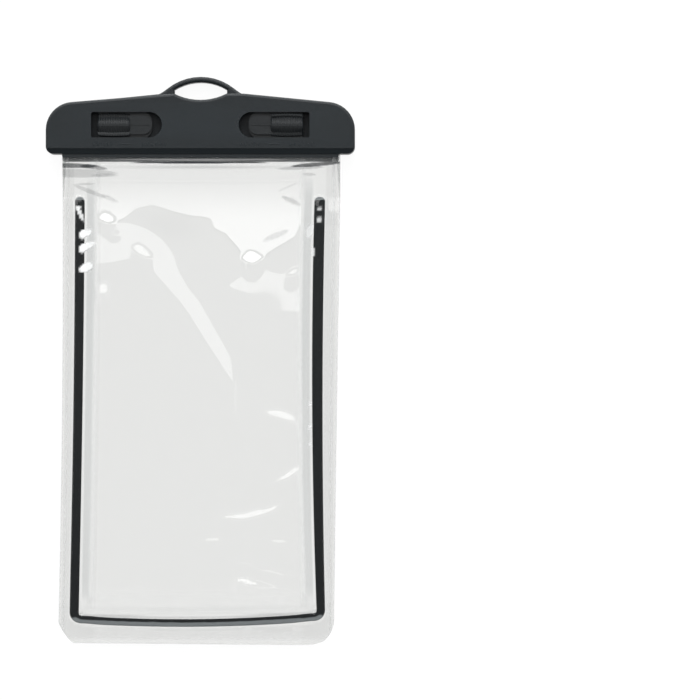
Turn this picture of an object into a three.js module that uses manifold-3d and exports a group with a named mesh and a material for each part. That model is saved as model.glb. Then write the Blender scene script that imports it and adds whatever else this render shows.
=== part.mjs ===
// Waterproof phone pouch: a clear film pocket hung from a clamp in two halves, shut by two sliding locks.
// Millimetres, +Z up. The pouch lies on its back, its mouth and loop towards +Y, and x = 0 is its middle.
// Inside this file y = 0 is the clamp's lower edge, and the last lines move the middle of the length there.
import * as THREE from "three";
import { mergeVertices } from "three/addons/utils/BufferGeometryUtils.js";
import Module from "manifold-3d";

// Film pocket
const filmThickness = 0.4;
const panelWidth = 82.8;
const sideWallRun = 4.8;
const seamWidth = 3.8;
const seamThickness = 0.8;
const seamFit = 0.15;
const sideMargin = 5.1;
const panelLength = 172.1;
const bottomWallRun = 8.4;
const bottomMargin = 7.3;
const bottomSeamBow = 1.2;
const seamCornerRadius = 5;
const seamInnerRadius = 1.2;
const filmCornerRadius = 9;
const frontBulge = 4.2;
const panelCrown = 0.5;
const crownAtQuarter = 0.8;
const seamTopBelowClamp = 17;
const mouthSlotHeight = 2.75;
const mouthCreaseDrop = 9;

// Clamp
const clampThickness = 12.5;
const partingGap = 0.3;
const clampOverhang = 6.5;
const clampShoulder = 20.8;
const clampCornerRadius = 11.2;
const clampFootRadius = 3;
const topSlopeDegrees = 5.6;
const crestPastLoop = 1.6;
const edgeBevel = 1;
const faceWall = 2.3;
const lipWidth = 2.2;
const lipStep = 0.3;
const lipDrop = 1;
const skirtDrop = 1.3;
const skirtThickness = 1.6;
const coreWall = 2;
const coreCornerRadius = 1.5;

// Carrying loop
const loopHalfSpan = 10.5;
const loopEndHeight = 1.8;
const loopRise = 3;
const loopScallop = 2.5;
const loopBand = 2.3;
const loopTaper = 0.8;
const loopElbow = 0.5;
const loopBevel = 0.9;

// Film grip and mouth seal
const filmGrip = 5;
const filmFit = 0.1;
const retainerDrop = 2.9;
const retainerFit = 0.2;
const retainerCornerRadius = 0.8;
const stakeRadius = 0.9;
const stakeReach = 1.4;
const stakeFit = 0.2;
const stakeCount = 7;
const stakeSpacing = 16;
const sealWidth = 2.4;
const sealDepth = 1.5;
const sealFit = 0.1;
const sealRidge = 0.5;

// Sliding locks
const windowEndInset = 18.2;
const windowCornerRadius = 0.7;
const windowDraft = 0.5;
const ribBelowWindow = 1;
const railDepth = 0.5;
const slideFit = 0.1;
const stopGap = 0.4;
const travelIn = 3.2;
const travelOut = 2.2;
const gripWidth = 9;
const gripBulge = 0.3;
const gripWall = 1.5;
const gripProud = 0.2;
const gripRibs = 13;
const gripRibDepth = 0.22;
const gripRimWidth = 1.6;
const gripRimRoll = 0.3;
const gripRimDrop = 0.6;
const gripValley = 0.55;
const gripSpineWidth = 1;
const gripShoulderDrop = 0.35;
const gripScoopDrop = 1.4;
const windowSideGap = 0.3;
const tongueLength = 8.9;
const tongueWidth = 7.6;
const tongueHeight = 1.1;
const tongueLine = 0.4;
const tongueLineHeight = 0.2;
const tongueLineInset = 0.8;
const slidePlate = 1.2;
const keeperThickness = 1.4;
const keeperFit = 0.15;
const headRadius = 2;
const headThickness = 0.7;
const headTaper = 0.3;
const neckRadius = 1.1;
const lockFit = 0.25;
const slotRounding = 0.95;
const keeperCornerRadius = 0.6;

// Locating pegs
const pegRadius = 1.6;
const pegHeight = 3.4;
const pegFit = 0.2;
const pegBoss = 1.4;

// Cutting tools reach this far past a face, and joined pieces this far into each other
const past = 1;
const into = 0.5;

const roundSegments = 16;
const arcSegments = 5;
const mouthSteps = 6;

// Levels: heights above the plane where the two films meet, which is the clamp's parting plane too
const partingZ = clampThickness / 2;
const halfGap = partingGap / 2;
const backBulge = partingZ - filmThickness;
const slotFloor = mouthSlotHeight - filmFit;
const slotRoof = mouthSlotHeight + filmThickness + filmFit;
const channelRoof = partingZ - faceWall;
const plateTop = channelRoof - slideFit;
const plateBottom = plateTop - slidePlate;
const keeperTop = plateBottom - slideFit;
const keeperBottom = keeperTop - keeperThickness;
const headBottom = plateTop + lockFit;
const headTop = headBottom + headThickness;
const gripTop = partingZ + gripProud;

// Plan positions worked out from the sizes above
const panelHalf = panelWidth / 2;
const wallFoot = panelHalf + sideWallRun;
const seamInner = wallFoot + seamFit;
const seamOuter = seamInner + seamWidth;
const filmHalf = seamOuter + seamFit + sideMargin;
const clampHalf = filmHalf + clampOverhang;
const panelBottom = -retainerDrop - panelLength;
const bottomFoot = panelBottom - bottomWallRun;
const seamBottom = bottomFoot - seamFit - seamWidth;
const filmBottom = seamBottom - bottomSeamBow - bottomMargin;
const retainerTop = filmGrip - retainerFit;
const filmTop = filmGrip - 2 * retainerFit;
const cornerHeight = clampShoulder - clampCornerRadius;
const topSlope = THREE.MathUtils.degToRad(topSlopeDegrees);
const shoulderRise = clampCornerRadius / Math.cos(topSlope) - clampCornerRadius;
const loopRadius = (loopHalfSpan ** 2 + loopRise ** 2) / (2 * loopRise);
const loopOuterRadius = loopRadius + loopBand - loopTaper;
const loopOuterDepth = loopOuterRadius - loopEndHeight - loopRise - loopBand;
const loopFoot = Math.sqrt(loopOuterRadius ** 2 - loopOuterDepth ** 2);
const crestHalfWidth = loopFoot + crestPastLoop;
const crestRun = clampHalf - clampCornerRadius - crestHalfWidth;
const crestY = clampShoulder + shoulderRise + crestRun * Math.tan(topSlope);
const loopCentreY = crestY + loopEndHeight + loopRise - loopRadius;
const scallopRadius = (loopHalfSpan ** 2 + loopScallop ** 2) / (2 * loopScallop);
const scallopCentreY = crestY - loopScallop + scallopRadius;
const loopTop = loopCentreY + loopRadius + loopBand;
const gripLength = travelIn + travelOut + 2 * (headRadius + lockFit + gripWall);
const slideRoom = travelIn + travelOut + 2 * stopGap + windowDraft;
const windowLength = gripLength + tongueLength + slideRoom;
const windowHeight = gripWidth + 2 * (gripBulge + windowSideGap);
const windowY = filmGrip + ribBelowWindow + railDepth + windowHeight / 2;
const windowOuter = clampHalf - windowEndInset;
const windowInner = windowOuter - windowLength;
const gripOuter = windowOuter - travelOut - stopGap;
const gripInner = gripOuter - gripLength;
const tongueEnd = gripInner - tongueLength;
const postX = gripOuter - gripWall - lockFit - headRadius - travelIn;
const channelHalf = windowHeight / 2 + railDepth;
const channelInner = windowInner - railDepth - coreWall / 2;
const channelOuter = windowOuter + railDepth + coreWall / 2;
const endCoreInner = channelOuter + coreWall;
const endCoreOuter = clampHalf - edgeBevel - coreWall;
const coreLow = filmGrip + coreWall;
const pegX = (endCoreInner + endCoreOuter) / 2;
const pegY = windowY;
const sealY = (retainerTop - retainerDrop) / 2;
const stakeY = filmGrip / 2;

const FRONT = 1;
const REAR = -1;

const wasm = await Module();
wasm.setup();

// Solids and their booleans

function solidOf(geometry) {
  const bare = geometry.clone();
  bare.deleteAttribute("normal");
  bare.deleteAttribute("uv");
  const merged = mergeVertices(bare, 1e-4);
  const points = merged.attributes.position;
  const triangles = Array.from(merged.index.array);
  const [a, b, c] = [new THREE.Vector3(), new THREE.Vector3(), new THREE.Vector3()];
  let volume = 0;
  for (let i = 0; i < triangles.length; i += 3) {
    a.fromBufferAttribute(points, triangles[i]);
    b.fromBufferAttribute(points, triangles[i + 1]);
    c.fromBufferAttribute(points, triangles[i + 2]);
    volume += a.dot(b.cross(c));
  }
  if (volume < 0) triangles.reverse();
  return new wasm.Manifold(
    new wasm.Mesh({
      numProp: 3,
      vertProperties: new Float32Array(points.array),
      triVerts: new Uint32Array(triangles),
    }),
  );
}

function geometryOf(solid) {
  const mesh = solid.getMesh();
  const geometry = new THREE.BufferGeometry();
  geometry.setAttribute("position", new THREE.BufferAttribute(mesh.vertProperties, 3));
  geometry.setIndex(new THREE.BufferAttribute(mesh.triVerts, 1));
  geometry.computeVertexNormals();
  return geometry;
}

function joined(...solids) {
  return solids.reduce((whole, next) => whole.add(next));
}

function cut(body, ...tools) {
  return tools.reduce((left, tool) => left.subtract(tool), body);
}

// A plan outline raised between two heights on one side of the parting plane.
function plate(outline, from, to, side = FRONT) {
  const low = partingZ + Math.min(side * from, side * to);
  const geometry = new THREE.ExtrudeGeometry(outline, {
    depth: Math.abs(to - from),
    bevelEnabled: false,
    curveSegments: arcSegments,
  });
  return solidOf(geometry.translate(0, 0, low));
}

// The same between two absolute heights, with its rims rounded over.
function roundedPlate(outline, low, high, bevel) {
  const geometry = new THREE.ExtrudeGeometry(outline, {
    depth: high - low - 2 * bevel,
    bevelEnabled: true,
    bevelThickness: bevel,
    bevelSize: bevel,
    bevelOffset: -bevel,
    bevelSegments: 3,
    curveSegments: arcSegments,
  });
  return solidOf(geometry.translate(0, 0, low + bevel));
}

function disc(x, y, radius, from, to, side = FRONT) {
  const geometry = new THREE.CylinderGeometry(radius, radius, Math.abs(to - from), roundSegments);
  geometry.rotateX(Math.PI / 2);
  return solidOf(geometry.translate(x, y, partingZ + (side * (from + to)) / 2));
}

// A section in y and height, drawn out along x.
function beam(section, from, to) {
  const geometry = new THREE.ExtrudeGeometry(section, {
    depth: to - from,
    bevelEnabled: false,
    curveSegments: arcSegments,
  });
  geometry.rotateX(Math.PI / 2).rotateZ(Math.PI / 2);
  return solidOf(geometry.translate(from, 0, 0));
}

// Rings with equally many points, skinned one to the next and closed at both ends round their centres.
function loft(rings) {
  const count = rings[0].length;
  const centres = [rings[0], rings.at(-1)].map((ring) => {
    const sum = ring.reduce((total, point) => total.add(point), new THREE.Vector3());
    return sum.divideScalar(count);
  });
  const positions = [...rings.flat(), ...centres].flatMap((point) => point.toArray());
  const last = (rings.length - 1) * count;
  const [nearCentre, farCentre] = [rings.length * count, rings.length * count + 1];
  const triangles = [];
  for (let i = 0; i < count; i += 1) {
    const j = (i + 1) % count;
    for (let ring = 0; ring < last; ring += count) {
      const [a, b, c, d] = [ring + i, ring + j, ring + count + i, ring + count + j];
      triangles.push(a, b, d, a, d, c);
    }
    triangles.push(j, i, nearCentre);
    triangles.push(last + i, last + j, farCentre);
  }
  const geometry = new THREE.BufferGeometry();
  geometry.setAttribute("position", new THREE.Float32BufferAttribute(positions, 3));
  geometry.setIndex(triangles);
  return solidOf(geometry);
}

// Plan outlines

function rectangle(x0, x1, y0, y1, radius = 0) {
  const shape = new THREE.Shape();
  if (radius === 0) {
    return shape.moveTo(x0, y0).lineTo(x1, y0).lineTo(x1, y1).lineTo(x0, y1);
  }
  shape.absarc(x1 - radius, y0 + radius, radius, -Math.PI / 2, 0);
  shape.absarc(x1 - radius, y1 - radius, radius, 0, Math.PI / 2);
  shape.absarc(x0 + radius, y1 - radius, radius, Math.PI / 2, Math.PI);
  shape.absarc(x0 + radius, y0 + radius, radius, Math.PI, 1.5 * Math.PI);
  return shape;
}

// Round at its low x end and square, with small corners, at its high x end.
function roundEnded(x0, x1, y, width, cornerRadius, endRadius = width / 2) {
  const half = width / 2;
  const shape = new THREE.Shape();
  shape.absarc(x1 - cornerRadius, y - half + cornerRadius, cornerRadius, -Math.PI / 2, 0);
  shape.absarc(x1 - cornerRadius, y + half - cornerRadius, cornerRadius, 0, Math.PI / 2);
  shape.absarc(x0 + endRadius, y + half - endRadius, endRadius, Math.PI / 2, Math.PI);
  shape.absarc(x0 + endRadius, y - half + endRadius, endRadius, Math.PI, 1.5 * Math.PI);
  return shape;
}

// The clamp's edge from the right end of the crest round the ends and the bottom to its left end.
function addClampEdge(shape) {
  const x = clampHalf - clampCornerRadius;
  const foot = clampHalf - clampFootRadius;
  shape.moveTo(-crestHalfWidth, crestY);
  shape.absarc(-x, cornerHeight, clampCornerRadius, Math.PI / 2 + topSlope, Math.PI);
  shape.absarc(-foot, clampFootRadius, clampFootRadius, Math.PI, 1.5 * Math.PI);
  shape.absarc(foot, clampFootRadius, clampFootRadius, -Math.PI / 2, 0);
  shape.absarc(x, cornerHeight, clampCornerRadius, 0, Math.PI / 2 - topSlope);
  shape.lineTo(crestHalfWidth, crestY);
}

function addScallop(path, clockwise) {
  const swing = Math.asin(loopHalfSpan / scallopRadius) * (clockwise ? 1 : -1);
  const down = -Math.PI / 2;
  path.absarc(0, scallopCentreY, scallopRadius, down + swing, down - swing, clockwise);
}

function frontOutline() {
  const shape = new THREE.Shape();
  addClampEdge(shape);
  addScallop(shape, true);
  return shape;
}

// The loop's outer arc meets the crest through an elbow just past its foot, on the tangent to the arc.
function rearOutline() {
  const shape = new THREE.Shape();
  addClampEdge(shape);
  const centreY = crestY - loopOuterDepth;
  const elbowX = loopFoot + loopElbow;
  const tangent = Math.acos(loopOuterRadius / Math.hypot(elbowX, loopOuterDepth));
  const blend = Math.atan2(elbowX, loopOuterDepth) - tangent;
  const startX = loopOuterRadius * Math.sin(blend);
  const startY = centreY + loopOuterRadius * Math.cos(blend);
  shape.quadraticCurveTo(elbowX, crestY, startX, startY);
  shape.absarc(0, centreY, loopOuterRadius, Math.PI / 2 - blend, Math.PI / 2 + blend);
  shape.quadraticCurveTo(-elbowX, crestY, -crestHalfWidth, crestY);
  const hole = new THREE.Path();
  const swing = Math.asin(loopHalfSpan / loopRadius);
  hole.absarc(0, loopCentreY, loopRadius, Math.PI / 2 - swing, Math.PI / 2 + swing);
  addScallop(hole, false);
  shape.holes.push(hole);
  return shape;
}

// The U of the seam, its bottom run slightly bowed, grown all round by a clearance.
function seamOutline(grow) {
  const inner = seamInner - grow;
  const outer = seamOuter + grow;
  const radius = seamCornerRadius + grow;
  const innerRadius = seamInnerRadius - grow / 2;
  const low = seamBottom - grow;
  const high = seamBottom + seamWidth + grow;
  const end = -seamTopBelowClamp - seamWidth / 2;
  const tip = (outer - inner) / 2;
  const shape = new THREE.Shape();
  shape.absarc((inner + outer) / 2, end, tip, 0, Math.PI);
  shape.lineTo(inner, high + innerRadius);
  shape.absarc(inner - innerRadius, high + innerRadius, innerRadius, 0, -Math.PI / 2, true);
  shape.quadraticCurveTo(0, high - 2 * bottomSeamBow, -inner + innerRadius, high);
  shape.absarc(-inner + innerRadius, high + innerRadius, innerRadius, -Math.PI / 2, -Math.PI, true);
  shape.lineTo(-inner, end);
  shape.absarc(-(inner + outer) / 2, end, tip, 0, Math.PI);
  shape.lineTo(-outer, low + radius);
  shape.absarc(-outer + radius, low + radius, radius, Math.PI, 1.5 * Math.PI);
  shape.quadraticCurveTo(0, low - 2 * bottomSeamBow, outer - radius, low);
  shape.absarc(outer - radius, low + radius, radius, -Math.PI / 2, 0);
  return shape;
}

function filmOutline() {
  const shape = new THREE.Shape();
  const x = filmHalf - filmCornerRadius;
  shape.absarc(x, filmBottom + filmCornerRadius, filmCornerRadius, -Math.PI / 2, 0);
  shape.lineTo(filmHalf, filmTop);
  shape.lineTo(-filmHalf, filmTop);
  shape.absarc(-x, filmBottom + filmCornerRadius, filmCornerRadius, Math.PI, 1.5 * Math.PI);
  return shape;
}

// Film pocket

function stakePositions() {
  const first = (-(stakeCount - 1) / 2) * stakeSpacing;
  return Array.from({ length: stakeCount }, (_, i) => first + i * stakeSpacing);
}

// Heights of the film's inner face along the length: its margin, which opens out only at the mouth, and
// its panel, which rises from the bottom seam and comes down to the slot in the clamp.
function marginHeight(y) {
  return mouthSlotHeight * THREE.MathUtils.smoothstep(y, -seamTopBelowClamp, -retainerDrop);
}

function panelHeight(y, bulge) {
  const rise = THREE.MathUtils.clamp((y - bottomFoot) / bottomWallRun, 0, 1);
  const mouth = THREE.MathUtils.smoothstep(y, -retainerDrop - mouthCreaseDrop, -retainerDrop);
  return THREE.MathUtils.lerp(bulge * rise, mouthSlotHeight, mouth);
}

// One cross-section of the pocket's inside or outside; the foot closes it below the parting plane.
function pocketRing(y, wall, foot, side) {
  const bulge = side === FRONT ? frontBulge : backBulge;
  const edge = filmHalf - (wall > 0 ? 0 : filmThickness);
  const margin = marginHeight(y) + wall;
  const panel = panelHeight(y, bulge) + wall;
  const proud = Math.max(panelHeight(y, bulge) - mouthSlotHeight, 0);
  const crown = side === FRONT ? (panelCrown * proud) / (bulge - mouthSlotHeight) : 0;
  const half = [
    [edge, foot],
    [edge, margin],
    [wallFoot, margin],
    [panelHalf, panel],
    [panelHalf / 2, panel + crownAtQuarter * crown],
  ];
  const other = half.map(([x, h]) => [-x, h]).reverse();
  return [...half, [0, panel + crown], ...other].map(
    ([x, h]) => new THREE.Vector3(x, y, partingZ + side * h),
  );
}

function pocketStations() {
  const stations = [filmBottom - past, bottomFoot, panelBottom, panelBottom / 2];
  const openings = [
    [-seamTopBelowClamp, -retainerDrop - mouthCreaseDrop],
    [-retainerDrop - mouthCreaseDrop, -retainerDrop],
  ];
  for (const [from, to] of openings) {
    for (let i = 0; i < mouthSteps; i += 1) {
      stations.push(THREE.MathUtils.lerp(from, to, i / mouthSteps));
    }
  }
  return [...stations, -retainerDrop, filmTop + past];
}

function film(side) {
  const lofted = (wall, foot) => loft(pocketStations().map((y) => pocketRing(y, wall, foot, side)));
  const shell = cut(lofted(filmThickness, 0), lofted(0, -past));
  const trimmed = shell.intersect(plate(filmOutline(), -past, partingZ, side));
  const cover = plate(seamOutline(filmThickness), 0, seamThickness / 2 + filmThickness, side);
  const seamRoom = plate(seamOutline(seamFit / 2), -past, seamThickness / 2 + seamFit / 2, side);
  const flapRoom = plate(
    rectangle(-filmHalf - past, filmHalf + past, -retainerDrop, filmTop + past),
    -past,
    mouthSlotHeight,
    side,
  );
  const stakes = stakePositions().map((x) => disc(x, stakeY, stakeRadius + stakeFit, 0, partingZ, side));
  return cut(joined(trimmed, cover), seamRoom, flapRoom, ...stakes);
}

function seamStrip() {
  return plate(seamOutline(0), -seamThickness / 2, seamThickness / 2);
}

// Film retainers and the mouth seal

function filmRetainer(side) {
  const outline = rectangle(-filmHalf, filmHalf, -retainerDrop, retainerTop, retainerCornerRadius);
  const bar = plate(outline, halfGap, slotFloor, side);
  const groove = plate(
    rectangle(
      -filmHalf + coreWall - sealFit,
      filmHalf - coreWall + sealFit,
      sealY - sealWidth / 2 - sealFit,
      sealY + sealWidth / 2 + sealFit,
    ),
    0,
    halfGap + sealDepth,
    side,
  );
  const stakes = stakePositions().map((x) =>
    disc(x, stakeY, stakeRadius, slotFloor - into, slotRoof + stakeReach, side),
  );
  return joined(cut(bar, groove), ...stakes);
}

// The front strip has a half-round ridge, which beds in the groove of the rear one.
function seal(side) {
  const low = sealY - sealWidth / 2;
  const high = sealY + sealWidth / 2;
  const near = partingZ + side * (sealFit / 2);
  const far = partingZ + side * (halfGap + sealDepth - sealFit);
  const radius = side === FRONT ? sealRidge : sealRidge + sealFit;
  const section = new THREE.Shape();
  section.moveTo(low, near);
  section.absarc(sealY, near, radius, Math.PI, 2 * Math.PI);
  section.lineTo(high, near);
  section.lineTo(high, far);
  section.lineTo(low, far);
  return beam(section, -filmHalf + coreWall, filmHalf - coreWall);
}

// Clamp halves

function mouthRecess(side) {
  const half = filmHalf + retainerFit;
  const recess = plate(rectangle(-half, half, -edgeBevel, filmGrip), 0, slotRoof, side);
  const stakeHoles = stakePositions().map((x) =>
    disc(x, stakeY, stakeRadius + stakeFit, slotRoof - into, slotRoof + stakeReach + stakeFit, side),
  );
  return joined(recess, ...stakeHoles);
}

// The skirt below each half that covers the film where it leaves the clamp.
function skirt(side) {
  const outline = rectangle(-filmHalf, filmHalf, -skirtDrop, past, skirtDrop / 2);
  return plate(outline, slotRoof, slotRoof + skirtThickness, side);
}

// Hollows behind the face, with the ribs between them left standing.
function coreHollows(side, depth) {
  const top = windowY + channelHalf;
  const middle = rectangle(coreWall / 2, channelInner - coreWall, coreLow, top, coreCornerRadius);
  const end = rectangle(endCoreInner, endCoreOuter, coreLow, top, coreCornerRadius);
  const bossRoom = disc(pegX, pegY, pegRadius + pegFit + pegBoss, -past, depth + past, side);
  const right = joined(plate(middle, 0, depth, side), cut(plate(end, 0, depth, side), bossRoom));
  return joined(right, right.mirror([1, 0, 0]));
}

function lockWindow(direction) {
  const face = roundEnded(windowInner, windowOuter, windowY, windowHeight, windowCornerRadius);
  const throat = roundEnded(
    windowInner + windowDraft,
    windowOuter,
    windowY,
    windowHeight,
    windowCornerRadius,
  );
  const placed = (shape, h) => {
    const points = shape.getPoints(arcSegments);
    return points.map((p) => new THREE.Vector3(direction * p.x, p.y, partingZ + h));
  };
  const opening = loft([placed(throat, channelRoof - into), placed(face, partingZ + past)]);
  const [a, b] = [direction * channelInner, direction * channelOuter];
  const outline = rectangle(Math.min(a, b), Math.max(a, b), windowY - channelHalf, windowY + channelHalf);
  return joined(opening, plate(outline, 0, channelRoof));
}

function frontBar() {
  const whole = roundedPlate(frontOutline(), 0, clampThickness, edgeBevel);
  const backHalf = plate(rectangle(-2 * clampHalf, 2 * clampHalf, -clampHalf, clampHalf), -clampThickness, halfGap);
  const lip = new THREE.Shape();
  lip.moveTo(-past, clampThickness - lipDrop - lipStep);
  lip.lineTo(lipWidth, clampThickness - lipStep);
  lip.lineTo(lipWidth, clampThickness + past);
  lip.lineTo(-past, clampThickness + past);
  const pegHoles = [-1, 1].map((x) => disc(x * pegX, pegY, pegRadius + pegFit, 0, pegHeight + 2 * pegFit));
  return cut(
    joined(whole, skirt(FRONT)),
    backHalf,
    beam(lip, -2 * clampHalf, 2 * clampHalf),
    mouthRecess(FRONT),
    coreHollows(FRONT, channelRoof),
    lockWindow(1),
    lockWindow(-1),
    ...pegHoles,
  );
}

// A headed post that a lock's keyhole slides under.
function lockPost(direction) {
  const x = direction * postX;
  const neck = disc(x, windowY, neckRadius, -halfGap - into, headBottom + headThickness / 2);
  const head = new THREE.CylinderGeometry(headRadius - headTaper, headRadius, headThickness, roundSegments);
  head.rotateX(Math.PI / 2);
  return joined(neck, solidOf(head.translate(x, windowY, partingZ + (headBottom + headTop) / 2)));
}

function rearBar() {
  const whole = roundedPlate(rearOutline(), 0, clampThickness, edgeBevel);
  const wide = 2 * clampHalf;
  const frontHalf = plate(rectangle(-wide, wide, -clampHalf, clampHalf), -halfGap, clampThickness);
  const loopZone = plate(rectangle(-wide, wide, crestY, clampHalf), -clampThickness, clampThickness);
  const loop = roundedPlate(rearOutline(), 0, partingZ - halfGap, loopBevel).intersect(loopZone);
  const bar = joined(cut(whole, frontHalf, loopZone), skirt(REAR));
  const depth = partingZ - faceWall;
  const hollow = cut(bar, mouthRecess(REAR), coreHollows(REAR, depth), ...postHollows(depth));
  const bossRadius = pegRadius + pegFit + pegBoss;
  const pegs = [-1, 1].map((x) => disc(x * pegX, pegY, pegRadius, -halfGap - into, pegHeight));
  const bosses = [-1, 1].map((x) => disc(x * pegX, pegY, bossRadius, halfGap, depth + into, REAR));
  return joined(hollow, loop, ...bosses, ...pegs, lockPost(1), lockPost(-1));
}

// Hollows in the rear half on both sides of each lock post.
function postHollows(depth) {
  const low = windowY - channelHalf + coreWall / 2;
  const high = windowY + channelHalf;
  const pad = headRadius + coreWall;
  const spans = [
    [channelInner, postX - pad],
    [postX + pad, channelOuter],
  ];
  const hollows = [];
  for (const [from, to] of spans) {
    const hollow = plate(rectangle(from, to, low, high, coreCornerRadius), 0, depth, REAR);
    hollows.push(hollow, hollow.mirror([1, 0, 0]));
  }
  return hollows;
}

// Sliding locks, drawn for the right-hand window about the windows' own line

// The thumb grip: a ribbed barrel with a spine along its middle, a rim above it and a scoop below.
function thumbGrip() {
  const stations = 2 * gripRibs + 1;
  const rings = [];
  for (let i = 0; i < stations; i += 1) {
    const t = i / (stations - 1);
    const end = i === 0 || i === stations - 1;
    const sunk = (i % 2 === 0 ? gripRibDepth : 0) + (end ? gripRibDepth : 0);
    const half = gripWidth / 2 + gripBulge * Math.sin(Math.PI * t) - sunk;
    const spine = gripTop - sunk;
    const rim = spine - gripRimDrop;
    const scoop = spine - gripScoopDrop;
    const shoulder = gripSpineWidth + gripShoulderDrop;
    const section = [
      [half, plateTop - into],
      [half, rim - gripRimRoll],
      [half - gripRimRoll, rim],
      [half - 3 * gripRimRoll, rim],
      [half - gripRimWidth, rim - gripValley],
      [shoulder, spine - gripShoulderDrop],
      [gripSpineWidth / 2, spine],
      [-gripSpineWidth / 2, spine],
      [-shoulder, spine - gripShoulderDrop],
      [gripRimWidth - half, scoop],
      [gripRimRoll - half, scoop - gripRimRoll],
      [-half, scoop - 2 * gripRimRoll],
      [-half, plateTop - into],
    ];
    const x = gripInner + t * gripLength;
    rings.push(section.map(([y, h]) => new THREE.Vector3(x, y, partingZ + h)));
  }
  return loft(rings);
}

// The keyhole: wide where the post's head passes, narrow where it is held down.
function keyhole() {
  const wide = headRadius + lockFit;
  const narrow = neckRadius + lockFit;
  const [outerEnd, innerEnd] = [gripOuter - gripWall, gripInner + gripWall];
  const slotEnd = postX + travelIn + narrow;
  return joined(
    plate(roundedSlot(innerEnd, outerEnd, wide), plateTop, headTop + lockFit),
    plate(roundedSlot(innerEnd, postX + wide, wide), 0, headTop),
    plate(roundedSlot(postX - wide, slotEnd, narrow), 0, plateTop + into),
  );
}

function roundedSlot(from, to, half) {
  return rectangle(from, to, -half, half, slotRounding * half);
}

function latch() {
  const half = channelHalf - slideFit;
  const cornerRadius = windowCornerRadius;
  const runner = plate(
    roundEnded(tongueEnd, gripOuter - gripRibDepth, 0, 2 * half, cornerRadius, half - past),
    plateBottom,
    plateTop,
  );
  const tongue = plate(
    roundEnded(tongueEnd, gripInner + gripWall / 2, 0, tongueWidth, cornerRadius),
    plateTop - into,
    plateTop + tongueHeight,
  );
  const line = plate(
    rectangle(tongueEnd + tongueLineInset, gripInner + into, -tongueLine / 2, tongueLine / 2),
    plateTop + tongueHeight - into,
    plateTop + tongueHeight + tongueLineHeight,
  );
  return cut(joined(runner, tongue, line, thumbGrip()), keyhole());
}

// The plate that closes the channel behind a lock, with a hole for the post's head.
function latchKeeper() {
  const outline = rectangle(
    channelInner + keeperFit,
    channelOuter - keeperFit,
    -channelHalf + keeperFit,
    channelHalf - keeperFit,
    keeperCornerRadius,
  );
  const hole = disc(postX, 0, headRadius + 2 * lockFit, 0, partingZ);
  return cut(plate(outline, keeperBottom, keeperTop), hole);
}

// Materials and the assembly

const clampPlastic = { color: 0x32373a, roughness: 0.55, metalness: 0 };
const lockPlastic = { color: 0x2b3033, roughness: 0.5, metalness: 0 };
const seamPlastic = { color: 0x24292b, roughness: 0.4, metalness: 0 };
const sealRubber = { color: 0x50565a, roughness: 0.7, metalness: 0 };
const clearFilm = { color: 0xe9ebea, roughness: 0.12, metalness: 0, transparent: true, opacity: 0.3 };

function piece(name, solid, finish) {
  const mesh = new THREE.Mesh(geometryOf(solid), new THREE.MeshStandardMaterial(finish));
  mesh.name = name;
  return mesh;
}

function lockGroup(prefix, turn) {
  const group = new THREE.Group();
  group.add(piece(`${prefix}_latch`, latch(), lockPlastic));
  group.add(piece(`${prefix}_latch_keeper`, latchKeeper(), clampPlastic));
  group.position.y = windowY;
  group.rotation.z = turn;
  return group;
}

const pocket = new THREE.Group();
pocket.add(piece("back_film", film(REAR), clearFilm));
pocket.add(piece("front_film", film(FRONT), clearFilm));
pocket.add(piece("seam_strip", seamStrip(), seamPlastic));

const rearClamp = new THREE.Group();
rearClamp.add(piece("rear_bar", rearBar(), clampPlastic));
rearClamp.add(piece("rear_film_retainer", filmRetainer(REAR), clampPlastic));
rearClamp.add(piece("rear_seal", seal(REAR), sealRubber));

const frontClamp = new THREE.Group();
frontClamp.add(piece("front_bar", frontBar(), clampPlastic));
frontClamp.add(piece("front_film_retainer", filmRetainer(FRONT), clampPlastic));
frontClamp.add(piece("front_seal", seal(FRONT), sealRubber));
frontClamp.add(lockGroup("right", 0));
frontClamp.add(lockGroup("left", Math.PI));

const pouch = new THREE.Group();
pouch.add(pocket, rearClamp, frontClamp);
pouch.position.y = -(filmBottom + loopTop) / 2;

const assembly = new THREE.Group();
assembly.add(pouch);

export default assembly;
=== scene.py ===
"""A waterproof phone pouch lying on a white table: clear film pocket, black seam and charcoal clamp.

The frame's pieces stay where they are and get their finishes here. The film, the seam and the small marks
on the clamp are modelled in this file, in millimetres, and scaled to metres as their meshes are made.
"""

import logging
import math
from dataclasses import dataclass, field
from enum import Enum
from typing import Any

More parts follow.
